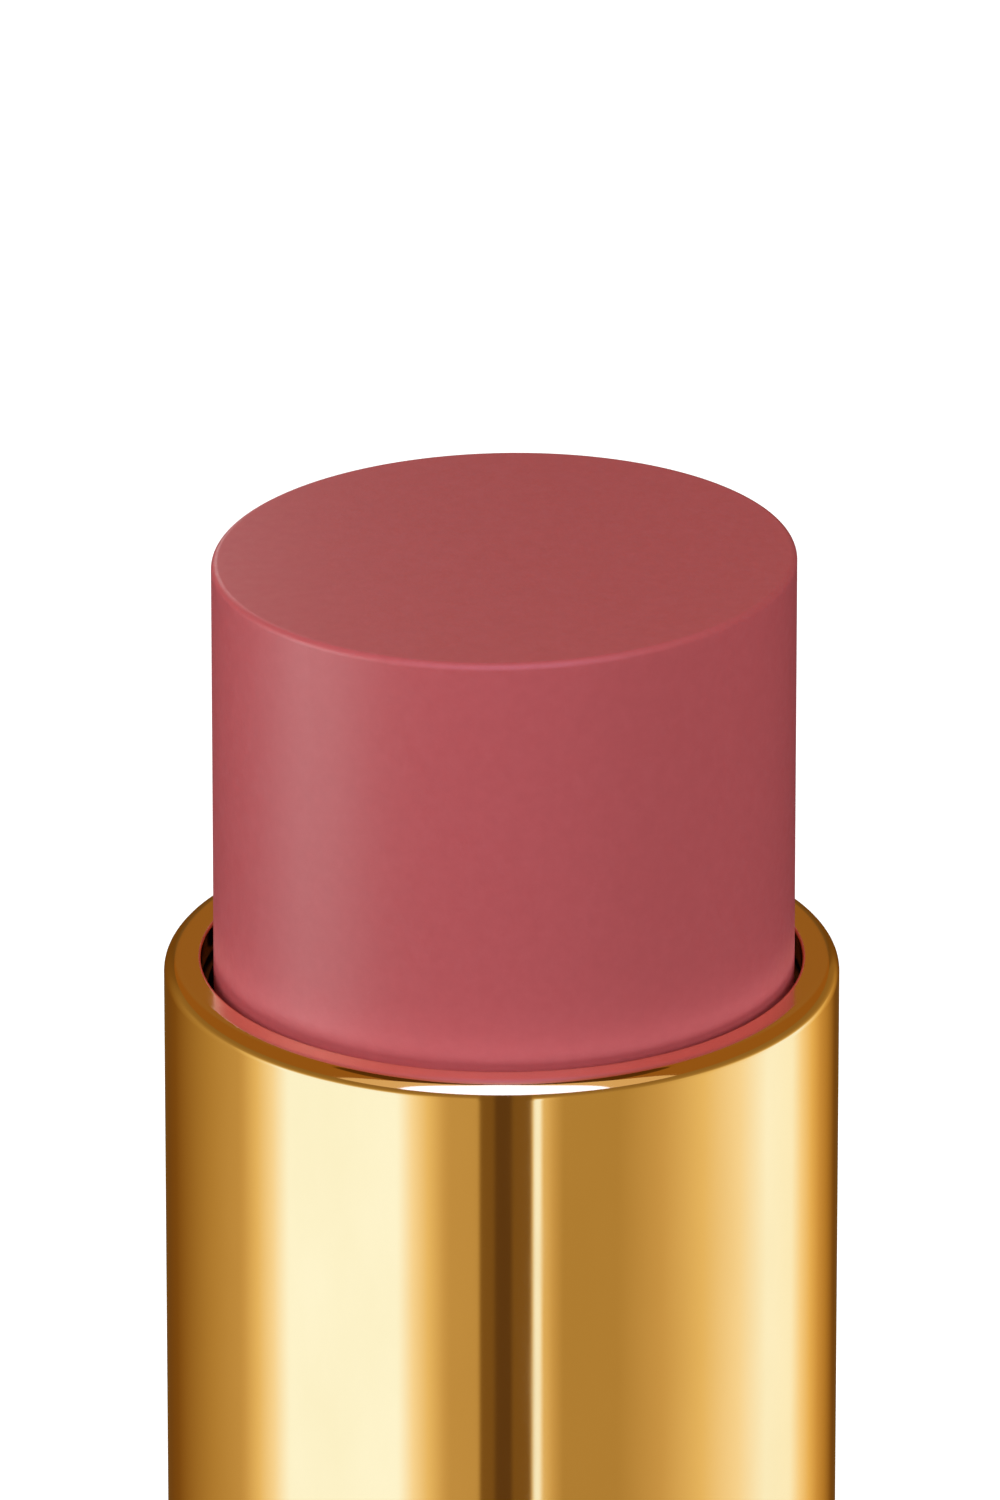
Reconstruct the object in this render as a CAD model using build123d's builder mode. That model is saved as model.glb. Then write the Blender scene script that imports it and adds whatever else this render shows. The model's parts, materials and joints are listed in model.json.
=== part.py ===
from build123d import *
from math import radians, tan
import os

# A swivel lipstick case, open, with its cap standing beside it. Millimetres, +Z up.
# The origin is the centre of the base's foot, on the surface that the case stands on.

# ---- Radial stack of the mechanism, from the outside in ----
COLLAR_R = 10.0  # outside of the tube that the cap slides over
COLLAR_WALL = 0.35
CAM_WALL = 0.42
GUIDE_WALL = 0.46
CUP_WALL = 0.4
RUN_GAP = 0.05  # radial running clearance, cam sleeve on guide tube
SLIDE_GAP = 0.12  # radial clearance, cup and stick in guide tube
LIP_GAP = 0.3  # visible ring between the stick and the collar's lip

CAM_R = COLLAR_R - COLLAR_WALL
CAM_BORE_R = CAM_R - CAM_WALL
GUIDE_R = CAM_BORE_R - RUN_GAP
GUIDE_BORE_R = GUIDE_R - GUIDE_WALL
CUP_R = GUIDE_BORE_R - SLIDE_GAP
CUP_BORE_R = CUP_R - CUP_WALL
STICK_R = CUP_R
LIP_BORE_R = STICK_R + LIP_GAP

# ---- Heights of the outside ----
BASE_HEIGHT = 28.0
COLLAR_SHOWN = 20.0  # collar between the base and its own rim
RIM_Z = BASE_HEIGHT + COLLAR_SHOWN

# ---- Travel of the stick ----
STICK_SHOWN = 12.6  # stick above the rim as stored
STICK_SUNK = 1.3  # top of the stick below the rim, wound right down
EXTRA_RISE = 2.3  # from the stored place to the top of the travel
STICK_TILT = 1.0  # degrees that the cut top leans about Y
STICK_EDGE = 0.18  # rounding of the top edge
STICK_OFFSET = 0.07  # the cast stick sits this far off the axis, towards +X
FALL = STICK_SHOWN + STICK_SUNK
LEAD = 10.8  # rise in one turn of the collar

# ---- Collar lip ----
LIP_THICKNESS = 0.9
LIP_ROUNDING = 0.5
LIP_INNER_EDGE = 0.12

# ---- Carrier ----
CUP_HEIGHT = 8.0
CUP_FLOOR = 0.6
CUP_VENT_R = 1.5
CUP_BELOW_RIM = 1.0  # cup's mouth below the rim at the top of the travel
CUP_RIB_COUNT = 4
CUP_RIB_DEPTH = 0.25
CUP_RIB_WIDTH = 0.8
LUG_R = 0.8
LUG_UP = 1.6  # lug centre above the cup's underside
LUG_END_GAP = 0.1  # lug's end to the collar's inside
SLOT_GAP = 0.05  # each side of a lug in its slots

CUP_TOP_Z = RIM_Z - CUP_BELOW_RIM - EXTRA_RISE
CUP_Z = CUP_TOP_Z - CUP_HEIGHT
LUG_Z = CUP_Z + LUG_UP
LUG_LOW_Z = LUG_Z - FALL
LUG_HIGH_Z = LUG_Z + EXTRA_RISE
SLOT_R = LUG_R + SLOT_GAP
LUG_TIP = (CAM_R**2 - LUG_R**2) ** 0.5 - LUG_END_GAP

# ---- Guide tube's flange and the cam sleeve under it ----
FLANGE_THICKNESS = 0.4
FLANGE_TOP_GAP = 0.15  # flange to the underside of the lip
FLANGE_SIDE_GAP = 0.1  # flange to the collar's inside
END_FLOAT = 0.05  # axial play of the cam sleeve, at each end
FLANGE_R = CAM_R - FLANGE_SIDE_GAP
GUIDE_TOP_Z = RIM_Z - LIP_THICKNESS - FLANGE_TOP_GAP
FLANGE_Z = GUIDE_TOP_Z - FLANGE_THICKNESS
CAM_TOP_Z = FLANGE_Z - END_FLOAT
SLOT_LAND = 1.4  # solid wall left below the lowest slot
CAM_Z = LUG_LOW_Z - SLOT_R - SLOT_LAND

# ---- Washers and the socket's shoulder ----
THRUST_THICKNESS = 0.5
FRICTION_THICKNESS = 0.4
WASHER_EDGE_GAP = 0.3  # washers inside the collar's outside
WASHER_BORE_GAP = 0.1  # washers round the guide tube
THRUST_Z = CAM_Z - END_FLOAT - THRUST_THICKNESS
SHOULDER_Z = THRUST_Z - FRICTION_THICKNESS
WASHER_R = COLLAR_R - WASHER_EDGE_GAP
WASHER_BORE_R = GUIDE_R + WASHER_BORE_GAP

# ---- Socket's grip on the guide tube, and the ring that locks it ----
GRIP_LENGTH = 4.0
RING_THICKNESS = 0.6
RING_WIDTH = 0.8
RING_GROOVE_DEPTH = 0.2
RING_OPENING = 30.0  # degrees cut out of the ring so that it springs on
TUBE_PAST_RING = 0.6
RING_TOP_Z = SHOULDER_Z - GRIP_LENGTH
RING_Z = RING_TOP_Z - RING_THICKNESS
GUIDE_Z = RING_Z - TUBE_PAST_RING
RING_BORE_R = GUIDE_R - RING_GROOVE_DEPTH
RING_R = RING_BORE_R + RING_WIDTH
RING_ROOM = 0.4  # socket's counterbore round the ring
SKIRT_DROP = 1.0  # socket's skirt below the guide tube

# ---- Base ----
BASE_STEP = 1.25  # base and cap stand this far out from the collar
BASE_WALL = 0.5
POCKET_GAP = 0.1  # collar's outside to the socket's pocket
FOOT_EDGE = 0.4  # rounding at the foot
FOOT_LIP = 0.65  # inturned foot, inwards from the shell's inside
TRIM_HEIGHT = 1.2
TRIM_SPIGOT = 1.0
TRIM_SPIGOT_WALL = 0.4
TRIM_EDGE = 0.3
SEAM_EDGE = 0.08  # tiny break on each edge of a seam
PLATE_THICKNESS = 1.0
LABEL_THICKNESS = 0.1
LABEL_MARGIN = 1.6
WEIGHT_HEIGHT = 6.0
HOLDER_WALL = 1.1
HOLDER_END = 1.0
BASE_R = COLLAR_R + BASE_STEP
CORE_R = BASE_R - BASE_WALL
POCKET_R = COLLAR_R + POCKET_GAP
TRIM_Z = BASE_HEIGHT - TRIM_HEIGHT
SPIGOT_Z = TRIM_Z - TRIM_SPIGOT
FOOT_BORE_R = CORE_R - FOOT_LIP
PLATE_TOP_Z = BASE_WALL + PLATE_THICKNESS
WEIGHT_R = CORE_R - HOLDER_WALL

# ---- Cap ----
CAP_PLACE = (-32.0, 20.0)  # the cap's axis, on the same surface
CAP_HEIGHT = 34.0
CAP_TOP_WALL = 0.6
CAP_TOP_EDGE = 0.6
CAP_FIT_GAP = 0.1  # liner's bore round the collar
CAP_LINER_END = 0.8
CAP_LINER_INSET = 0.2  # liner's foot above the shell's
CAP_WEIGHT_HEIGHT = 3.4
CAP_WEIGHT_GAP = 0.25
CAP_RIB_COUNT = 6
CAP_RIB_PROUD = 0.06
CAP_RIB_WIDTH = 1.0
CAP_RIB_HEIGHT = 9.0
CAP_RIB_Z = 5.0
CLICK_Z = 2.0  # click ring above the cap's mouth
CLICK_HEIGHT = 1.0
CLICK_PROUD = 0.05
CLICK_WIDTH = 0.3
CLICK_ROOM = 0.05
CLICK_OPENING = 24.0
CAP_BORE_R = COLLAR_R + CAP_FIT_GAP
CAP_LINER_TOP_Z = CAP_HEIGHT - CAP_TOP_WALL - CAP_WEIGHT_HEIGHT
CLICK_BORE_R = CAP_BORE_R - CLICK_PROUD
CLICK_R = CLICK_BORE_R + CLICK_WIDTH


def ring(outer_r, bore_r, low_z, high_z, centre=(0, 0)):
    """A plain ring about a vertical axis, made inside the sub-part's own block."""
    with BuildSketch(Plane.XY.offset(low_z)) as outline:
        with Locations(centre):
            Circle(outer_r)
            Circle(bore_r, mode=Mode.SUBTRACT)
    extrude(outline.sketch, amount=high_z - low_z)


def spring_opening(outer_r, low_z, high_z, degrees, centre=(0, 0)):
    """Cuts the wedge that lets a ring spring open, facing +X."""
    reach = 2 * outer_r
    rise = reach * tan(radians(degrees / 2))
    with BuildSketch(Plane.XY.offset(low_z)) as wedge:
        with Locations(centre):
            Polygon((0, 0), (reach, -rise), (reach, rise), align=None)
    extrude(wedge.sketch, amount=high_z - low_z, mode=Mode.SUBTRACT)


def turned(points):
    """Revolves a closed half-section, given as (radius, z), about the case's axis."""
    with BuildSketch(Plane.XZ) as section:
        with BuildLine():
            Polyline(*points, close=True)
        make_face()
    revolve(section.sketch, axis=Axis.Z)


def edges_at(part, radius, z):
    """The circular edges of a part at one radius and height."""
    return part.edges().filter_by(
        lambda e: e.geom_type == GeomType.CIRCLE
        and abs(e.radius - radius) < 1e-4
        and abs(e.arc_center.Z - z) < 1e-4
    )


# ---- Collar: the drawn shell and the cam sleeve pressed into it ----
with BuildPart() as collar_shell:
    turned(
        [
            (CAM_R, CAM_Z),
            (COLLAR_R, CAM_Z),
            (COLLAR_R, RIM_Z),
            (LIP_BORE_R, RIM_Z),
            (LIP_BORE_R, RIM_Z - LIP_THICKNESS),
            (CAM_R, RIM_Z - LIP_THICKNESS),
        ]
    )
    fillet(edges_at(collar_shell, COLLAR_R, RIM_Z), LIP_ROUNDING)
    fillet(edges_at(collar_shell, LIP_BORE_R, RIM_Z), LIP_INNER_EDGE)

# A lug rides in a left-handed helix, so that turning the collar anticlockwise raises the stick.
TRACK_R = (CAM_R + CAM_BORE_R) / 2
START_ANGLE = 360 * FALL / LEAD
with BuildLine(Plane.XY.offset(LUG_LOW_Z)) as lug_track:
    Helix(pitch=LEAD, height=FALL + EXTRA_RISE, radius=TRACK_R, lefthand=True)

with BuildPart() as cam_sleeve:
    ring(CAM_R, CAM_BORE_R, CAM_Z, CAM_TOP_Z)
    for side in (0, 180):
        track = lug_track.edge().rotate(Axis.Z, START_ANGLE + side)
        foot = track @ 0
        with BuildSketch(Plane(origin=foot, x_dir=(foot.X, foot.Y, 0), z_dir=track % 0)):
            Rectangle(2 * CAM_WALL, 2 * SLOT_R)
        sweep(path=track, is_frenet=True, mode=Mode.SUBTRACT)
        for end in (foot, track @ 1):
            with BuildSketch(Plane(origin=end, z_dir=(end.X, end.Y, 0))):
                Circle(SLOT_R)
            extrude(amount=CAM_WALL, both=True, mode=Mode.SUBTRACT)

# ---- Guide tube, fixed in the base ----
with BuildPart() as guide_tube:
    ring(GUIDE_R, GUIDE_BORE_R, GUIDE_Z, GUIDE_TOP_Z)
    ring(FLANGE_R, GUIDE_BORE_R, FLANGE_Z, GUIDE_TOP_Z)
    with BuildSketch(Plane.XY.offset(RING_Z)):
        Circle(GUIDE_R)
        Circle(RING_BORE_R, mode=Mode.SUBTRACT)
    extrude(amount=RING_THICKNESS, mode=Mode.SUBTRACT)
    with BuildSketch(Plane.YZ):
        with Locations((0, (LUG_LOW_Z + LUG_HIGH_Z) / 2)):
            SlotCenterToCenter(FALL + EXTRA_RISE, 2 * SLOT_R, rotation=90)
    extrude(amount=FLANGE_R, both=True, mode=Mode.SUBTRACT)

with BuildPart() as guide_retaining_ring:
    ring(RING_R, RING_BORE_R, RING_Z, RING_TOP_Z)
    spring_opening(RING_R, RING_Z, RING_TOP_Z, RING_OPENING)

with BuildPart() as thrust_washer:
    ring(WASHER_R, WASHER_BORE_R, THRUST_Z, THRUST_Z + THRUST_THICKNESS)

with BuildPart() as friction_washer:
    ring(WASHER_R, WASHER_BORE_R, SHOULDER_Z, THRUST_Z)

# ---- Carrier: cup, its two lug pins, and the stick ----
with BuildPart() as carrier_cup:
    with BuildSketch(Plane.XY.offset(CUP_Z)):
        Circle(CUP_R)
    extrude(amount=CUP_HEIGHT)
    with BuildSketch(Plane.XY.offset(CUP_Z + CUP_FLOOR)):
        Circle(CUP_BORE_R)
        with PolarLocations(CUP_BORE_R, CUP_RIB_COUNT, 360 / CUP_RIB_COUNT / 2):
            Rectangle(2 * CUP_RIB_DEPTH, CUP_RIB_WIDTH, mode=Mode.SUBTRACT)
    extrude(amount=CUP_HEIGHT - CUP_FLOOR, mode=Mode.SUBTRACT)
    with BuildSketch(Plane.XY.offset(CUP_Z)):
        Circle(CUP_VENT_R)
    extrude(amount=CUP_FLOOR, mode=Mode.SUBTRACT)
    with BuildSketch(Plane.YZ):
        with Locations((0, LUG_Z)):
            Circle(LUG_R)
    extrude(amount=CUP_R, both=True, mode=Mode.SUBTRACT)

with BuildPart() as carrier_lug_pins:
    for side in (1, -1):
        with BuildSketch(Plane(origin=(side * CUP_BORE_R, 0, LUG_Z), z_dir=(side, 0, 0))):
            Circle(LUG_R)
        extrude(amount=LUG_TIP - CUP_BORE_R)

with BuildPart() as lipstick_bullet:
    STICK_TOP_Z = RIM_Z + STICK_SHOWN
    with BuildSketch(Plane.XY.offset(CUP_Z + CUP_FLOOR)):
        Circle(CUP_BORE_R)
    extrude(amount=CUP_HEIGHT - CUP_FLOOR)
    with BuildSketch(Plane.XY.offset(CUP_TOP_Z)):
        with Locations((STICK_OFFSET, 0)):
            Circle(STICK_R)
    extrude(amount=STICK_TOP_Z - CUP_TOP_Z + STICK_R)
    split(bisect_by=Plane.XY.offset(STICK_TOP_Z).rotated((0, -STICK_TILT, 0)), keep=Keep.BOTTOM)
    fillet(lipstick_bullet.faces().sort_by(Axis.Z)[-1].edges(), STICK_EDGE)
    add(carrier_cup.part, mode=Mode.SUBTRACT)

# ---- Base ----
with BuildPart() as base_outer_shell:
    turned(
        [
            (FOOT_BORE_R, 0),
            (BASE_R, 0),
            (BASE_R, TRIM_Z),
            (CORE_R, TRIM_Z),
            (CORE_R, BASE_WALL),
            (FOOT_BORE_R, BASE_WALL),
        ]
    )
    fillet(edges_at(base_outer_shell, BASE_R, 0), FOOT_EDGE)
    chamfer(edges_at(base_outer_shell, BASE_R, TRIM_Z), SEAM_EDGE)

with BuildPart() as base_trim_ring:
    turned(
        [
            (POCKET_R, TRIM_Z),
            (CORE_R - TRIM_SPIGOT_WALL, TRIM_Z),
            (CORE_R - TRIM_SPIGOT_WALL, SPIGOT_Z),
            (CORE_R, SPIGOT_Z),
            (CORE_R, TRIM_Z),
            (BASE_R, TRIM_Z),
            (BASE_R, BASE_HEIGHT),
            (POCKET_R, BASE_HEIGHT),
        ]
    )
    fillet(edges_at(base_trim_ring, BASE_R, BASE_HEIGHT), TRIM_EDGE)
    chamfer(edges_at(base_trim_ring, BASE_R, TRIM_Z), SEAM_EDGE)

with BuildPart() as base_socket:
    turned(
        [
            (RING_R + RING_ROOM, GUIDE_Z - SKIRT_DROP),
            (CORE_R, GUIDE_Z - SKIRT_DROP),
            (CORE_R, SPIGOT_Z),
            (POCKET_R, SPIGOT_Z),
            (POCKET_R, SHOULDER_Z),
            (GUIDE_R, SHOULDER_Z),
            (GUIDE_R, RING_TOP_Z),
            (RING_R + RING_ROOM, RING_TOP_Z),
        ]
    )

with BuildPart() as weight_holder:
    ring(CORE_R, WEIGHT_R, PLATE_TOP_Z, PLATE_TOP_Z + WEIGHT_HEIGHT)
    with BuildSketch(Plane.XY.offset(PLATE_TOP_Z + WEIGHT_HEIGHT)):
        Circle(CORE_R)
    extrude(amount=HOLDER_END)

with BuildPart() as base_weight:
    with BuildSketch(Plane.XY.offset(PLATE_TOP_Z)):
        Circle(WEIGHT_R)
    extrude(amount=WEIGHT_HEIGHT)

with BuildPart() as base_bottom_plate:
    with BuildSketch(Plane.XY.offset(BASE_WALL)):
        Circle(CORE_R)
    extrude(amount=PLATE_THICKNESS)

with BuildPart() as shade_label:
    with BuildSketch(Plane.XY.offset(BASE_WALL - LABEL_THICKNESS)):
        Circle(FOOT_BORE_R - LABEL_MARGIN)
    extrude(amount=LABEL_THICKNESS)

# ---- Cap, standing on its mouth beside the case ----
with BuildPart() as cap_outer_shell:
    with BuildSketch():
        with Locations(CAP_PLACE):
            Circle(BASE_R)
    extrude(amount=CAP_HEIGHT)
    with BuildSketch():
        with Locations(CAP_PLACE):
            Circle(CORE_R)
    extrude(amount=CAP_HEIGHT - CAP_TOP_WALL, mode=Mode.SUBTRACT)
    fillet(edges_at(cap_outer_shell, BASE_R, CAP_HEIGHT), CAP_TOP_EDGE)
    chamfer(edges_at(cap_outer_shell, BASE_R, 0), SEAM_EDGE)

with BuildPart() as cap_click_ring:
    ring(CLICK_R, CLICK_BORE_R, CLICK_Z, CLICK_Z + CLICK_HEIGHT, CAP_PLACE)
    spring_opening(CLICK_R, CLICK_Z, CLICK_Z + CLICK_HEIGHT, CLICK_OPENING, CAP_PLACE)

with BuildPart() as cap_inner_liner:
    with BuildSketch(Plane.XY.offset(CAP_LINER_INSET)):
        with Locations(CAP_PLACE):
            Circle(CORE_R)
    extrude(amount=CAP_LINER_TOP_Z - CAP_LINER_INSET)
    with BuildSketch(Plane.XY.offset(CAP_LINER_INSET)):
        with Locations(CAP_PLACE):
            Circle(CAP_BORE_R)
    extrude(amount=CAP_LINER_TOP_Z - CAP_LINER_INSET - CAP_LINER_END, mode=Mode.SUBTRACT)
    with BuildSketch(Plane.XY.offset(CAP_RIB_Z)):
        with Locations(CAP_PLACE):
            with PolarLocations(CAP_BORE_R, CAP_RIB_COUNT):
                Rectangle(2 * CAP_RIB_PROUD, CAP_RIB_WIDTH)
    extrude(amount=CAP_RIB_HEIGHT)
    with BuildSketch(Plane.XY.offset(CLICK_Z)):
        with Locations(CAP_PLACE):
            Circle(CLICK_R + CLICK_ROOM)
            Circle(CAP_BORE_R - CAP_RIB_PROUD, mode=Mode.SUBTRACT)
    extrude(amount=CLICK_HEIGHT, mode=Mode.SUBTRACT)

with BuildPart() as cap_weight_disc:
    with BuildSketch(Plane.XY.offset(CAP_LINER_TOP_Z)):
        with Locations(CAP_PLACE):
            Circle(CORE_R - CAP_WEIGHT_GAP)
    extrude(amount=CAP_WEIGHT_HEIGHT)

PIECES = {
    "collar_shell": collar_shell,
    "cam_sleeve": cam_sleeve,
    "guide_tube": guide_tube,
    "guide_retaining_ring": guide_retaining_ring,
    "thrust_washer": thrust_washer,
    "friction_washer": friction_washer,
    "carrier_cup": carrier_cup,
    "carrier_lug_pins": carrier_lug_pins,
    "lipstick_bullet": lipstick_bullet,
    "base_outer_shell": base_outer_shell,
    "base_trim_ring": base_trim_ring,
    "base_socket": base_socket,
    "weight_holder": weight_holder,
    "base_weight": base_weight,
    "base_bottom_plate": base_bottom_plate,
    "shade_label": shade_label,
    "cap_outer_shell": cap_outer_shell,
    "cap_inner_liner": cap_inner_liner,
    "cap_click_ring": cap_click_ring,
    "cap_weight_disc": cap_weight_disc,
}

os.makedirs("parts", exist_ok=True)
for name, piece in PIECES.items():
    piece.part.label = name
    export_step(piece.part, f"parts/{name}.step")
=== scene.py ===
import json
import math

import bpy
import numpy as np
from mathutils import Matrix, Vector


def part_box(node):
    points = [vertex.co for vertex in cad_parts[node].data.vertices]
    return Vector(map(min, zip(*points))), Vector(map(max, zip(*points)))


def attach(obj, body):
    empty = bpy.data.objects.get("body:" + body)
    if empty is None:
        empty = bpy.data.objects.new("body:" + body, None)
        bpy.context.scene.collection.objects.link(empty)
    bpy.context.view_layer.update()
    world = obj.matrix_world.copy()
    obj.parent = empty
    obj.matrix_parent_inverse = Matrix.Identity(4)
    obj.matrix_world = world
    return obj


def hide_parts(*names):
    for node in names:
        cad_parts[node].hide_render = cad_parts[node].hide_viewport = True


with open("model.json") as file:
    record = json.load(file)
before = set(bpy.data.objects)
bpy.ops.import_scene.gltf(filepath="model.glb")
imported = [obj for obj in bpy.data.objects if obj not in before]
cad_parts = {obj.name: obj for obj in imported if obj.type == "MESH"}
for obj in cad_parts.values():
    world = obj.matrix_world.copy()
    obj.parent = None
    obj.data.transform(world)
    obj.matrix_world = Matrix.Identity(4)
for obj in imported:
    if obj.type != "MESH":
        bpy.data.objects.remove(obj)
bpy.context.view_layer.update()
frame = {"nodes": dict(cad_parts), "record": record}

MM = 0.001
SEGMENTS = 480  # round the big turned pieces
ARC_STEPS = 10  # along a rounded corner
SUPPORT = 0.012 * MM  # loops this close to a corner keep flats flat in the shading
BROKEN_EDGE = 0.05 * MM  # a metal edge with its burr taken off
TIGHT_EDGE = 0.02 * MM


# ---- Sizes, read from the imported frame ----
def radius_of(node):
    low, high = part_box(node)
    return (high[1] - low[1]) / 2


def centre_of(node):
    low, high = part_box(node)
    return ((low[0] + high[0]) / 2, (low[1] + high[1]) / 2)


collar_low, collar_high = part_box("collar_shell")
COLLAR_R = radius_of("collar_shell")
COLLAR_BORE_R = radius_of("cam_sleeve")
RIM_Z = collar_high[2]
LIP_BORE_R = 8.9 * MM
LIP_THICKNESS = 0.9 * MM
LIP_ROUNDING = 0.5 * MM
LIP_INNER_EDGE = 0.12 * MM

BASE_R = radius_of("base_outer_shell")
CORE_R = radius_of("base_bottom_plate")
FOOT_BORE_R = CORE_R - 0.65 * MM  # the shell turns in under its bottom plate
FOOT_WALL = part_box("base_bottom_plate")[0][2]
FOOT_EDGE = 0.4 * MM
SEAM_EDGE = 0.08 * MM
TRIM_TOP_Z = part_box("base_trim_ring")[1][2]
TRIM_SEAM_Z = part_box("base_outer_shell")[1][2]
TRIM_LOW_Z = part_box("base_trim_ring")[0][2]
TRIM_BORE_R = COLLAR_R + 0.1 * MM
TRIM_SPIGOT_R = CORE_R - 0.4 * MM
TRIM_EDGE = 0.3 * MM

CAP_CENTRE = centre_of("cap_outer_shell")
CAP_HIGH_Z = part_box("cap_outer_shell")[1][2]
CAP_INNER_TOP_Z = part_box("cap_weight_disc")[1][2]
CAP_TOP_EDGE = 0.6 * MM

STICK_R = radius_of("carrier_cup")
STICK_OFFSET = 0.07 * MM  # the shown part stands a little to the right
STICK_ROOT_R = STICK_R - 0.65 * MM  # inside the cup
STICK_LOW_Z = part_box("lipstick_bullet")[0][2]
CUP_TOP_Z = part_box("carrier_cup")[1][2]
STICK_TOP_Z = RIM_Z + 12.6 * MM
STICK_TILT = math.radians(1.0)
STICK_EDGE = 0.2 * MM


# ---- Mesh building ----
def rounded(corners, close=True):
    """A half-section from (radius, z, rounding) corners: an arc at each corner, a support point beside it.
    The ends of an open section stay sharp."""
    points = []
    count = len(corners)
    for i, (r, z, rounding) in enumerate(corners):
        here = Vector((r, z))
        if not close and i in (0, count - 1):
            points.append(here)
            continue
        before = (Vector(corners[i - 1][:2]) - here).normalized()
        after = (Vector(corners[(i + 1) % count][:2]) - here).normalized()
        turn = math.pi - before.angle(after)
        reach = rounding * math.tan(turn / 2)
        start, end = here + before * reach, here + after * reach
        centre = here + (before + after).normalized() * (rounding / math.cos(turn / 2))
        points.append(start + before * SUPPORT)
        for step in range(ARC_STEPS + 1):
            angle = turn * step / ARC_STEPS
            way = (start - centre) * math.sin(turn - angle) + (end - centre) * math.sin(angle)
            points.append(centre + way / math.sin(turn))
        points.append(end + after * SUPPORT)
    return points


def mesh_object(name, verts, faces, smooth=True):
    mesh = bpy.data.meshes.new(name)
    mesh.from_pydata(verts, [], faces)
    mesh.validate()
    mesh.polygons.foreach_set("use_smooth", [smooth] * len(mesh.polygons))
    mesh.update()
    piece = bpy.data.objects.new(name, mesh)
    bpy.context.scene.collection.objects.link(piece)
    return piece


def lathe(name, section, centre=(0, 0), close=True, segments=SEGMENTS):
    """Turns a half-section about a vertical axis. An open section starts and ends on the axis."""
    verts, faces = [], []
    angles = [2 * math.pi * k / segments for k in range(segments)]
    rings = []
    for r, z in ((p[0], p[1]) for p in section):
        if r < 1e-9:
            rings.append([len(verts)])
            verts.append((centre[0], centre[1], z))
            continue
        rings.append(list(range(len(verts), len(verts) + segments)))
        verts += [(centre[0] + r * math.cos(a), centre[1] + r * math.sin(a), z) for a in angles]
    pairs = list(zip(rings, rings[1:]))
    if close:
        pairs.append((rings[-1], rings[0]))
    for low, high in pairs:
        for k in range(segments):
            n = (k + 1) % segments
            quad = [low[k % len(low)], low[n % len(low)], high[n % len(high)], high[k % len(high)]]
            faces.append(list(dict.fromkeys(quad)))
    return mesh_object(name, verts, faces)


def place(piece, body, node, material):
    """Puts a finer piece on its body in place of a CAD node."""
    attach(piece, body)
    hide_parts(node)
    piece.data.materials.clear()
    piece.data.materials.append(material)


# ---- Materials ----
NOISE_SPAN = (0.3, 0.7)  # where nearly all of a noise's values lie


def node_material(name):
    material = bpy.data.materials.new(name)
    material.use_nodes = True
    tree = material.node_tree
    return material, tree, tree.nodes["Principled BSDF"]


def link(tree, a, out, b, into):
    tree.links.new(a.outputs[out], b.inputs[into])


def noise(tree, scale, detail=3.0, roughness=0.5, stretch=(1, 1, 1)):
    """Noise in the piece's own coordinates; scale is features per millimetre."""
    coords = tree.nodes.new("ShaderNodeTexCoord")
    mapping = tree.nodes.new("ShaderNodeMapping")
    mapping.inputs["Scale"].default_value = [s / MM for s in stretch]
    texture = tree.nodes.new("ShaderNodeTexNoise")
    texture.inputs["Scale"].default_value = scale
    texture.inputs["Detail"].default_value = detail
    texture.inputs["Roughness"].default_value = roughness
    link(tree, coords, "Object", mapping, "Vector")
    link(tree, mapping, "Vector", texture, "Vector")
    return texture


def rough(tree, texture, low, high, shader):
    """Maps a noise onto a range of roughness."""
    remap = tree.nodes.new("ShaderNodeMapRange")
    remap.inputs["From Min"].default_value, remap.inputs["From Max"].default_value = NOISE_SPAN
    remap.inputs["To Min"].default_value = low
    remap.inputs["To Max"].default_value = high
    link(tree, texture, "Fac", remap, "Value")
    link(tree, remap, "Result", shader, "Roughness")
    return remap


def colours(tree, texture, stops, shader):
    """Colours a piece by a noise, from (value, colour) stops."""
    ramp = tree.nodes.new("ShaderNodeValToRGB")
    elements = ramp.color_ramp.elements
    while len(elements) < len(stops):
        elements.new(0.5)
    for element, (at, colour) in zip(elements, stops):
        element.position = at
        element.color = (*colour, 1)
    link(tree, texture, "Fac", ramp, "Fac")
    link(tree, ramp, "Color", shader, "Base Color")
    return ramp


def bump(tree, texture, height, shader, under=None):
    """Bump whose full height is given in millimetres, laid over another bump if there is one."""
    node = tree.nodes.new("ShaderNodeBump")
    node.inputs["Strength"].default_value = 1.0
    node.inputs["Distance"].default_value = height * MM
    link(tree, texture, "Fac", node, "Height")
    if under:
        link(tree, under, "Normal", node, "Normal")
    link(tree, node, "Normal", shader, "Normal")
    return node


GOLD = (0.98, 0.68, 0.36)
GOLD_AT_GRAZING = (1, 0.74, 0.44, 1)
REFLECTION_TINT_GOLD = (0.98, 0.82, 0.70)  # the plating is painted paler on the lip's flat, so the stick and the brown card it mirrors come out paler there: a painted reflection tint
LIP_TINT_ROUGHNESS = 0.14
LIP_TINT_DEPTH = 0.05 * MM  # how far below the rim it still shows
LIP_TINT_FADE = 0.03 * MM  # height over which the painted reflection tint sets in


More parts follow.
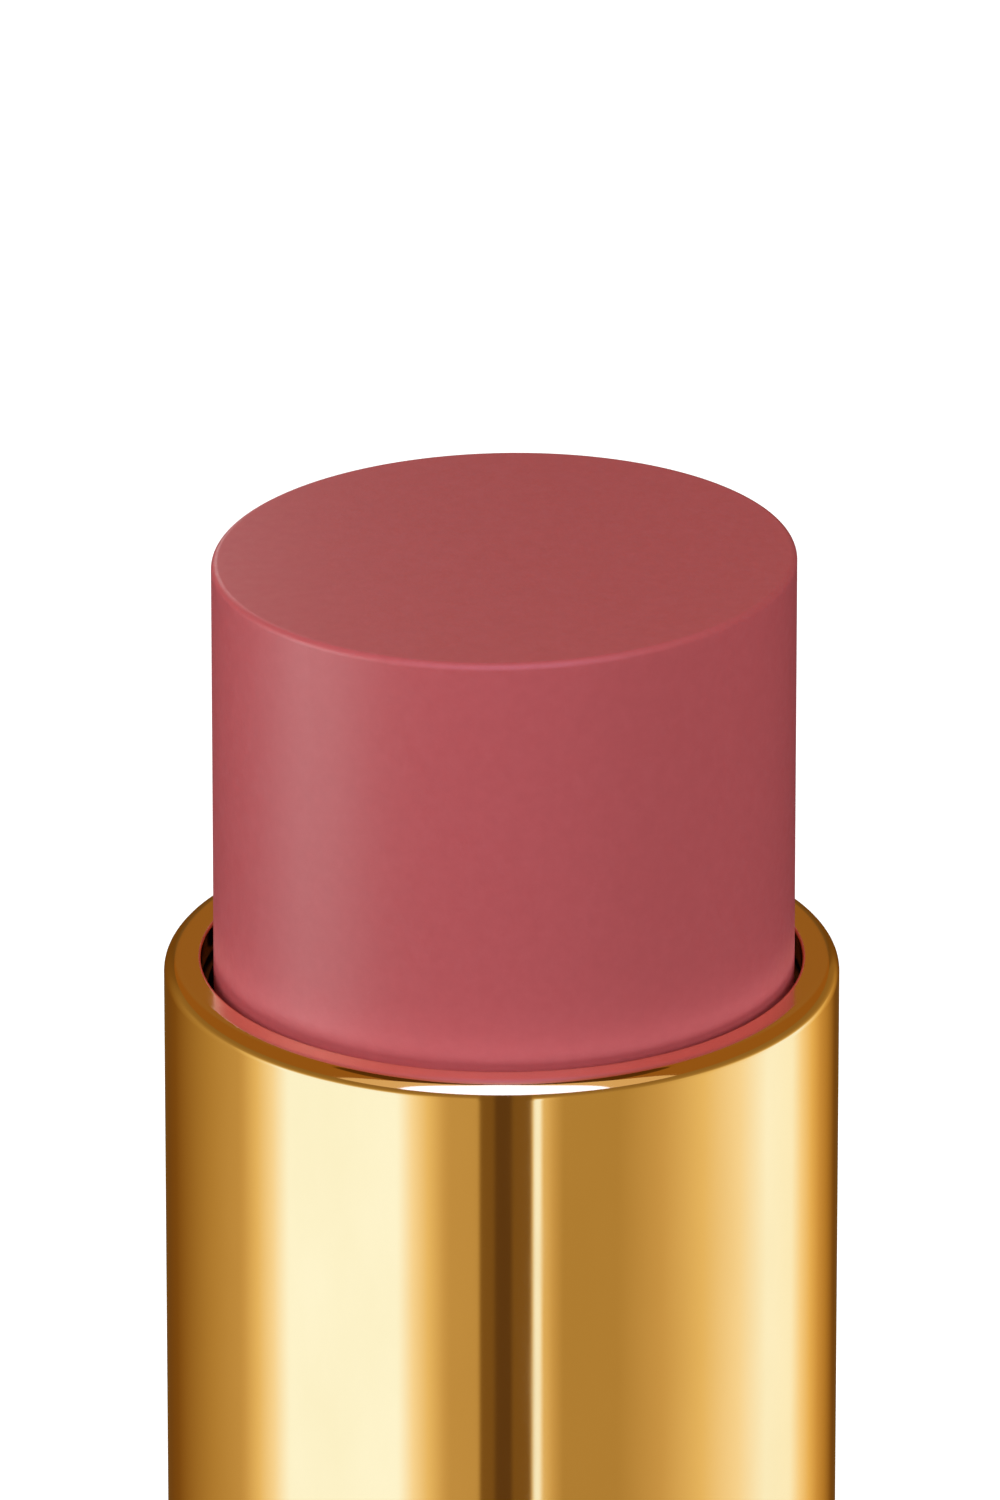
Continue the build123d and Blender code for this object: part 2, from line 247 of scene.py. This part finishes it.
def polished_gold(name, reflection_tint_above=None):
    """The plated shells: slow changes of tone, wiped gloss, faint waves and drawing lines."""
    material, tree, shader = node_material(name)
    shader.inputs["Metallic"].default_value = 1.0
    shader.inputs["Specular Tint"].default_value = GOLD_AT_GRAZING
    tone = noise(tree, 0.35, detail=4, stretch=(1, 1, 0.4))
    deeper_gold = tuple(c * f for c, f in zip(GOLD, (0.975, 0.965, 0.93)))
    plating = colours(tree, tone, [(0.35, deeper_gold), (0.65, GOLD)], shader)
    wipe = noise(tree, 1.6, detail=5, stretch=(1, 1, 0.15))
    gloss = rough(tree, wipe, 0.055, 0.085, shader)
    drawn = noise(tree, 0.16, detail=1, stretch=(1, 1, 0.5))
    wave = bump(tree, drawn, 0.004, shader)
    lines = noise(tree, 9.0, detail=2, stretch=(0.3, 0.3, 4))
    bump(tree, lines, 0.00012, shader, under=wave)
    if reflection_tint_above is not None:
        tint_lip_reflections(tree, shader, plating, gloss, reflection_tint_above)
    return material


def tint_lip_reflections(tree, shader, plating, gloss, height):
    """Makes the plating paler and less glossy above a height: a painted tint on what the lip reflects."""
    coords = tree.nodes.new("ShaderNodeTexCoord")
    parts = tree.nodes.new("ShaderNodeSeparateXYZ")
    link(tree, coords, "Object", parts, "Vector")
    tinted = tree.nodes.new("ShaderNodeMapRange")
    tinted.inputs["From Min"].default_value = height
    tinted.inputs["From Max"].default_value = height + LIP_TINT_FADE
    link(tree, parts, "Z", tinted, "Value")

    paint = tree.nodes.new("ShaderNodeMix")
    paint.data_type = "RGBA"  # its colours are inputs 6 and 7 and output 2
    link(tree, tinted, "Result", paint, "Factor")
    link(tree, plating, "Color", paint, 6)
    paint.inputs[7].default_value = (*REFLECTION_TINT_GOLD, 1)
    link(tree, paint, 2, shader, "Base Color")

    tinted_gloss = tree.nodes.new("ShaderNodeMix")  # its numbers are inputs 2 and 3 and output 0
    link(tree, tinted, "Result", tinted_gloss, "Factor")
    link(tree, gloss, "Result", tinted_gloss, 2)
    tinted_gloss.inputs[3].default_value = LIP_TINT_ROUGHNESS
    link(tree, tinted_gloss, 0, shader, "Roughness")


def cream():
    """The rose stick: faintly mottled and satin, with a fine grain and shallow pores."""
    material, tree, shader = node_material("cream_stick")
    mottle = noise(tree, 2.6, detail=6, roughness=0.65)
    roses = [(0.3, (0.442, 0.077, 0.087)), (0.5, (0.455, 0.080, 0.090)), (0.7, (0.468, 0.084, 0.095))]
    colours(tree, mottle, roses, shader)
    shader.inputs["Subsurface Weight"].default_value = 0.15
    shader.inputs["Subsurface Radius"].default_value = (0.8 * MM, 0.25 * MM, 0.2 * MM)
    shader.inputs["Subsurface Scale"].default_value = 1.0
    shader.inputs["Specular IOR Level"].default_value = 0.32
    satin = noise(tree, 2.5, detail=4)
    rough(tree, satin, 0.42, 0.50, shader)
    grain = noise(tree, 8.0, detail=4, roughness=0.6)
    soft = bump(tree, grain, 0.004, shader)
    pores = noise(tree, 2.2, detail=2)
    bump(tree, pores, 0.003, shader, under=soft)
    return material


def drawn_metal(name, colour, roughness, scale=6.0):
    """Plain metal with marks of drawing or turning."""
    material, tree, shader = node_material(name)
    shader.inputs["Metallic"].default_value = 1.0
    marks = noise(tree, scale, detail=4, stretch=(0.15, 0.15, 3))
    darker = tuple(0.86 * c for c in colour)
    colours(tree, marks, [(0.3, darker), (0.7, colour)], shader)
    rough(tree, marks, roughness - 0.06, roughness + 0.06, shader)
    bump(tree, marks, 0.002, shader)
    return material


def moulded(name, colour, roughness, soft=False):
    """Plastic, rubber or paper with a fine even grain."""
    material, tree, shader = node_material(name)
    fine = noise(tree, 5.0, detail=5, roughness=0.6)
    darker = tuple(0.88 * c for c in colour)
    colours(tree, fine, [(0.3, darker), (0.7, colour)], shader)
    rough(tree, fine, roughness - 0.07, roughness + 0.07, shader)
    bump(tree, fine, 0.004, shader)
    if soft:
        shader.inputs["Sheen Weight"].default_value = 0.15
    return material


gold = polished_gold("polished_gold")
# the collar's lip flat gets paler plating: a painted reflection tint
collar_gold = polished_gold("collar_gold", reflection_tint_above=RIM_Z - LIP_TINT_DEPTH)
materials = {
    "polished_gold": gold,
    "cream_stick": cream(),
    # the mechanism metal is near black brown so that the gap round the stick shows dark: painted shade in
    # the gap
    "mechanism_metal": drawn_metal("mechanism_metal", (0.060, 0.036, 0.024), 0.36),
    "spring_steel": drawn_metal("spring_steel", (0.56, 0.56, 0.58), 0.25),
    "weight_steel": drawn_metal("weight_steel", (0.44, 0.44, 0.46), 0.38, scale=3.0),
    "socket_plastic": moulded("socket_plastic", (0.018, 0.017, 0.018), 0.45),
    "liner_plastic": moulded("liner_plastic", (0.78, 0.76, 0.72), 0.3),
    "slippery_plastic": moulded("slippery_plastic", (0.82, 0.80, 0.76), 0.4),
    "soft_ring": moulded("soft_ring", (0.03, 0.03, 0.032), 0.6, soft=True),
    "label_paper": moulded("label_paper", (0.72, 0.60, 0.58), 0.5),
}
slot_of = {row["node"]: row["material_slot"] for row in frame["record"]["subparts"]}
for node, piece in frame["nodes"].items():
    piece.data.materials.clear()
    piece.data.materials.append(materials[slot_of[node]])


# ---- Pieces that stand for CAD nodes ----
collar = lathe(
    "collar_tube",
    rounded(
        [
            (COLLAR_R, collar_low[2], BROKEN_EDGE),
            (COLLAR_R, RIM_Z, LIP_ROUNDING),
            (LIP_BORE_R, RIM_Z, LIP_INNER_EDGE),
            (LIP_BORE_R, RIM_Z - LIP_THICKNESS, BROKEN_EDGE),
            (COLLAR_BORE_R, RIM_Z - LIP_THICKNESS, BROKEN_EDGE),
            (COLLAR_BORE_R, collar_low[2], BROKEN_EDGE),
        ]
    ),
)
place(collar, "collar", "collar_shell", collar_gold)

base_shell = lathe(
    "base_shell",
    rounded(
        [
            (FOOT_BORE_R, 0, 0.1 * MM),
            (BASE_R, 0, FOOT_EDGE),
            (BASE_R, TRIM_SEAM_Z, SEAM_EDGE),
            (CORE_R, TRIM_SEAM_Z, BROKEN_EDGE),
            (CORE_R, FOOT_WALL, BROKEN_EDGE),
            (FOOT_BORE_R, FOOT_WALL, 0.1 * MM),
        ]
    ),
)
place(base_shell, "base", "base_outer_shell", gold)

trim = lathe(
    "base_trim",
    rounded(
        [
            (TRIM_BORE_R, TRIM_SEAM_Z, BROKEN_EDGE),
            (TRIM_SPIGOT_R, TRIM_SEAM_Z, TIGHT_EDGE),
            (TRIM_SPIGOT_R, TRIM_LOW_Z, BROKEN_EDGE),
            (CORE_R, TRIM_LOW_Z, BROKEN_EDGE),
            (CORE_R, TRIM_SEAM_Z, TIGHT_EDGE),
            (BASE_R, TRIM_SEAM_Z, SEAM_EDGE),
            (BASE_R, TRIM_TOP_Z, TRIM_EDGE),
            (TRIM_BORE_R, TRIM_TOP_Z, 0.12 * MM),
        ]
    ),
)
place(trim, "base", "base_trim_ring", gold)

cap_shell = lathe(
    "cap_shell",
    rounded(
        [
            (0, CAP_HIGH_Z, 0),
            (BASE_R, CAP_HIGH_Z, CAP_TOP_EDGE),
            (BASE_R, 0, SEAM_EDGE),
            (CORE_R, 0, 0.1 * MM),
            (CORE_R, CAP_INNER_TOP_Z, 0.2 * MM),
            (0, CAP_INNER_TOP_Z, 0),
        ],
        close=False,
    ),
    centre=CAP_CENTRE,
    close=False,
)
place(cap_shell, "cap", "cap_outer_shell", gold)

stick = lathe(
    "cream_stick",
    rounded(
        [
            (0, STICK_LOW_Z, 0),
            (STICK_ROOT_R, STICK_LOW_Z, 0.1 * MM),
            (STICK_ROOT_R, CUP_TOP_Z, TIGHT_EDGE),
            (STICK_R, CUP_TOP_Z, BROKEN_EDGE),
            (STICK_R, STICK_TOP_Z, STICK_EDGE),
            (0, STICK_TOP_Z, 0),
        ],
        close=False,
    ),
    close=False,
)
place(stick, "carrier", "lipstick_bullet", materials["cream_stick"])
for v in stick.data.vertices:
    if v.co.z > CUP_TOP_Z - 0.01 * MM:
        v.co.x += STICK_OFFSET
    if v.co.z > STICK_TOP_Z - 2 * STICK_EDGE:  # the flat top leans and the sides stay straight
        v.co.z += v.co.x * math.tan(STICK_TILT)


# ---- Camera ----
PICTURE_HEIGHT = 1500
PIXELS_PER_MM = 33.95  # at the point that the camera aims at
PITCH = math.radians(22.05)
DISTANCE = 0.5
AIM_ABOVE_RIM = 6.47 * MM
AIM_TO_LEFT = 0.05 * MM
camera_data = bpy.data.cameras.new("camera")
camera_data.sensor_width = 36
camera_data.lens = PIXELS_PER_MM * DISTANCE / MM / PICTURE_HEIGHT * camera_data.sensor_width
camera_data.clip_start, camera_data.clip_end = 0.01, 10
camera = bpy.data.objects.new("camera", camera_data)
bpy.context.scene.collection.objects.link(camera)
bpy.context.scene.camera = camera
aim = Vector((-AIM_TO_LEFT, 0, RIM_Z + AIM_ABOVE_RIM))
back = Vector((0, -math.cos(PITCH), math.sin(PITCH)))
camera.location = aim + back * DISTANCE
camera.rotation_mode = "QUATERNION"
camera.rotation_quaternion = (-back).to_track_quat("-Z", "Y")


# ---- Studio ----
top_of_case = Vector((0, 0, RIM_Z))
SOFTBOX_STEPS = 24


def emitter(name, colour=(1, 1, 1), strength=1.0):
    """A glowing material, its node tree and its emission node."""
    material = bpy.data.materials.new(name)
    material.use_nodes = True
    tree = material.node_tree
    tree.nodes.clear()
    out = tree.nodes.new("ShaderNodeOutputMaterial")
    glow = tree.nodes.new("ShaderNodeEmission")
    glow.inputs["Color"].default_value = (*colour, 1)
    glow.inputs["Strength"].default_value = strength
    link(tree, glow, "Emission", out, "Surface")
    return material, tree, glow


def receivers(name, *pieces):
    """A group of pieces that a light is for."""
    group = bpy.data.collections.new(name)
    for piece in pieces:
        group.objects.link(piece)
    return group


def only_in_reflections(piece):
    piece.visible_camera = False
    piece.visible_diffuse = False
    piece.visible_shadow = False
    piece.visible_transmission = False


def softbox(name, radius, azimuths, elevations, colour, strength):
    """A glowing patch of a sphere round the top of the case, between two azimuths and two elevations."""
    row = SOFTBOX_STEPS + 1
    verts, faces = [], []
    for j in range(row):
        lift = math.radians(np.interp(j, (0, SOFTBOX_STEPS), elevations))
        flat, up = math.cos(lift), math.sin(lift)
        for k in range(row):
            turn = math.radians(np.interp(k, (0, SOFTBOX_STEPS), azimuths))
            way = Vector((math.sin(turn) * flat, -math.cos(turn) * flat, up))
            verts.append(top_of_case + way * radius)
    for j in range(SOFTBOX_STEPS):
        for k in range(j * row, j * row + SOFTBOX_STEPS):
            faces.append((k, k + 1, k + row + 1, k + row))
    piece = mesh_object(name, verts, faces, smooth=False)
    piece.data.materials.append(emitter(name, colour, strength)[0])
    only_in_reflections(piece)


# A wall of cards stands round the case, and its polished sides reflect it. Angles are in degrees from the
# viewer's side, positive to the viewer's right. A tone runs from 0, a dark brown card, to 1, a bright one.
WALL_R = 62 * MM
WALL_STEPS = 1440
TONES = [
    (0.00, (0.10, 0.05, 0.013)),
    (0.20, (0.20, 0.11, 0.022)),
    (0.40, (0.45, 0.31, 0.09)),
    (0.55, (0.60, 0.44, 0.16)),
    (0.70, (0.82, 0.68, 0.31)),
    (0.85, (0.96, 0.96, 0.75)),
    (1.00, (1.02, 1.33, 1.66)),
]
SURROUND_TONE = 0.12
# start and end of each card's even part, soft edge before it, soft edge after it, and tone
CARDS = {
    "wide_left": (-72, -33, 45, 33, 1.00),
    "warm_left": (-96, -7, 75, 1.2, 0.49),
    "narrow_strip": (10.2, 11.9, 1.8, 3.2, 0.98),
    "strip_glow": (10, 14, 1, 14, 0.64),
    "warm_right": (10, 46, 1, 60, 0.40),
    "wide_right": (96, 110, 100, 50, 0.98),
}
# the dark card in the middle and its darker core: start, end and tone, with the same soft edges
FLAG = (-6.2, 8.4, 0.19)
FLAG_CORE = (-1.6, 2.6, 0.02)
FLAG_SOFTNESS = 1.2
# height in millimetres and the brightest tone there
WALL_HEIGHTS = [
    (-70, 0.50),
    (-40, 0.86),
    (-15, 1.00),
    (35, 1.00),
    (39, 0.62),
    (44, 0.36),
    (52, 0.28),
    (66, 0.25),
]


def soft_card(angles, start, end, before, after, tone):
    """A card's tone at each angle, falling to nothing across its soft edges."""
    rise = np.clip((angles - start + before) / before, 0, 1)
    fall = np.clip((end + after - angles) / after, 0, 1)
    return tone * np.minimum(rise, fall)


def card_tones(angles):
    """The wall's tone at each angle: the brightest card there, with the dark card in front."""
    tones = np.full(len(angles), SURROUND_TONE)
    for row in CARDS.values():
        tones = np.maximum(tones, soft_card(angles, *row))
    for start, end, tone in (FLAG, FLAG_CORE):
        inside = soft_card(angles, start, end, FLAG_SOFTNESS, FLAG_SOFTNESS, 1.0)
        tones = tones * (1 - inside) + tone * inside
    return tones


def card_wall():
    """Builds the wall, with its light as vertex colours. Only the plated pieces get light from it."""
    angles = np.linspace(-180, 180, WALL_STEPS + 1)
    greys, shades = zip(*TONES)
    verts, faces, light = [], [], []
    for height, brightest in WALL_HEIGHTS:
        tones = np.minimum(card_tones(angles), brightest)
        levels = np.stack([np.interp(tones, greys, band) for band in zip(*shades)], 1)
        for angle, level in zip(np.radians(angles), levels):
            verts.append((WALL_R * math.sin(angle), -WALL_R * math.cos(angle), height * MM))
            light.append((*level, 1))
    row = WALL_STEPS + 1
    for j in range(len(WALL_HEIGHTS) - 1):
        for k in range(j * row, j * row + WALL_STEPS):
            faces.append((k, k + 1, k + row + 1, k + row))
    wall = mesh_object("studio_card_wall", verts, faces, smooth=False)
    paint = wall.data.color_attributes.new("light", "FLOAT_COLOR", "POINT")
    paint.data.foreach_set("color", np.array(light, np.float32).ravel())
    material, tree, glow = emitter("studio_card_wall")
    shade = tree.nodes.new("ShaderNodeVertexColor")
    shade.layer_name = "light"
    link(tree, shade, "Color", glow, "Color")
    wall.data.materials.append(material)
    only_in_reflections(wall)
    wall.light_linking.receiver_collection = receivers("plated_pieces", collar, base_shell, trim, cap_shell)


card_wall()
# a bluish softbox is what makes a white line on gold; the warm glow behind it shows at its edges
softbox("studio_front_softbox", 0.25, (-34, 36), (8, 88), (1, 1.2, 2.2), 1.4)
softbox("studio_front_glow", 0.27, (-56, 60), (6, 88), (1, 0.75, 0.4), 0.7)
FLAG_COLOUR = (0.09, 0.035, 0.004)
softbox("studio_left_flag", 0.29, (-165, -58), (62, 90), FLAG_COLOUR, 1.0)
softbox("studio_right_flag", 0.29, (60, 165), (62, 90), FLAG_COLOUR, 1.0)


def area_light(name, centre, size, power, gloss_for=None):
    """A light that faces the stick. It lights everything without showing in reflections, or it only adds
    gloss to one piece."""
    data = bpy.data.lights.new(name, "AREA")
    data.shape = "RECTANGLE"
    data.size, data.size_y = size
    data.energy = power
    piece = bpy.data.objects.new(name, data)
    piece.location = centre
    piece.rotation_mode = "QUATERNION"
    stick_middle = Vector((0, 0, (RIM_Z + STICK_TOP_Z) / 2))
    piece.rotation_quaternion = (stick_middle - Vector(centre)).to_track_quat("-Z", "Y")
    bpy.context.scene.collection.objects.link(piece)
    piece.visible_glossy = gloss_for is not None
    if gloss_for:
        piece.visible_diffuse = False
        piece.light_linking.receiver_collection = receivers(name, gloss_for)


area_light("key_light", (-0.108, -0.074, 0.125), (0.06, 0.06), 0.123)
area_light("fill_light", (0.115, -0.105, 0.10), (0.06, 0.06), 0.085)
area_light("stick_side_gloss", (-0.13, -0.035, 0.05), (0.08, 0.12), 0.23, gloss_for=stick)
area_light("stick_top_gloss", (-0.022, 0.05, 0.078), (0.02, 0.02), 0.004, gloss_for=stick)


def lip_bounce():
    """The light that the polished lip throws back on the foot of the stick."""
    height = RIM_Z + 0.02 * MM
    section = [(LIP_BORE_R, height), (COLLAR_R - LIP_ROUNDING, height)]
    ring = lathe("studio_lip_bounce", section, close=False, segments=96)
    ring.data.materials.append(emitter("studio_lip_bounce", (1, 1, 1), 2.0)[0])
    only_in_reflections(ring)
    ring.visible_glossy, ring.visible_diffuse = False, True
    ring.light_linking.receiver_collection = receivers("lip_bounce_on", stick)


lip_bounce()


def round_stage(name, radius, material, domed=False):
    """The floor's disc, or a dome that stands on it."""
    sides = 96
    rows = 24 if domed else 1
    verts, faces = [], []
    for j in range(rows):
        lift = math.pi / 2 * j / rows
        ring_r, z = radius * math.cos(lift), radius * math.sin(lift)
        for k in range(sides):
            turn = 2 * math.pi * k / sides
            verts.append((ring_r * math.cos(turn), ring_r * math.sin(turn), z))
    for j in range(rows - 1):
        for k in range(sides):
            n = (k + 1) % sides
            faces.append((j * sides + k, j * sides + n, (j + 1) * sides + n, (j + 1) * sides + k))
    faces.append(tuple(range(len(verts) - sides, len(verts))))
    piece = mesh_object(name, verts, faces, smooth=False)
    piece.data.materials.append(material)
    return piece


FLOOR_R, CEILING_R, UNDER_CARD_R = 4.0, 0.7, 2.0
UNDER_CARD_Z = -72 * MM
floor_material, _, floor_shader = node_material("studio_floor")
floor_shader.inputs["Base Color"].default_value = (0.8, 0.8, 0.8, 1)
floor_shader.inputs["Roughness"].default_value = 0.6
floor_shader.inputs["Emission Color"].default_value = (1, 1, 1, 1)
floor_shader.inputs["Emission Strength"].default_value = 0.3
floor = round_stage("studio_floor", FLOOR_R, floor_material)
floor.visible_diffuse = floor.visible_glossy = False

# everything above the wall mirrors as one warm brown
ceiling_material, _, _ = emitter("studio_ceiling", (0.30, 0.13, 0.018))
ceiling = round_stage("studio_ceiling", CEILING_R, ceiling_material, domed=True)
only_in_reflections(ceiling)

# a card under the foot of the wall closes it from below
under_card_material, _, _ = emitter("studio_under_card", (0.50, 0.35, 0.12))
under_card = round_stage("studio_under_card", UNDER_CARD_R, under_card_material)
under_card.location.z = UNDER_CARD_Z
only_in_reflections(under_card)

# a broad light from above, for the floor alone, leaves the soft shadow under the case
above = bpy.data.objects.new("floor_light", bpy.data.lights.new("floor_light", "SUN"))
above.data.energy = 2.1
above.data.angle = math.radians(100)
above.rotation_euler = (math.radians(12), math.radians(8), 0)
bpy.context.scene.collection.objects.link(above)
above.light_linking.receiver_collection = receivers("floor_light_on", floor)

# the world is white behind everything, and dimmer as a light
SKY_SEEN, SKY_LIGHT = 1.05, 0.50
world = bpy.data.worlds.new("studio")
bpy.context.scene.world = world
world.use_nodes = True
sky = world.node_tree.nodes["Background"]
sky.inputs["Color"].default_value = (1, 1, 1, 1)
ray = world.node_tree.nodes.new("ShaderNodeLightPath")
strength = world.node_tree.nodes.new("ShaderNodeMapRange")
strength.inputs["To Min"].default_value = SKY_LIGHT
strength.inputs["To Max"].default_value = SKY_SEEN
link(world.node_tree, ray, "Is Camera Ray", strength, "Value")
link(world.node_tree, strength, "Result", sky, "Strength")
bpy.context.scene.view_settings.view_transform = "Standard"

# the cap stands outside the picture, so the case doesn't mirror it
for node in frame["record"]["behaviour"]["bodies"]["cap"]:
    frame["nodes"][node].visible_glossy = False
cap_shell.visible_glossy = False
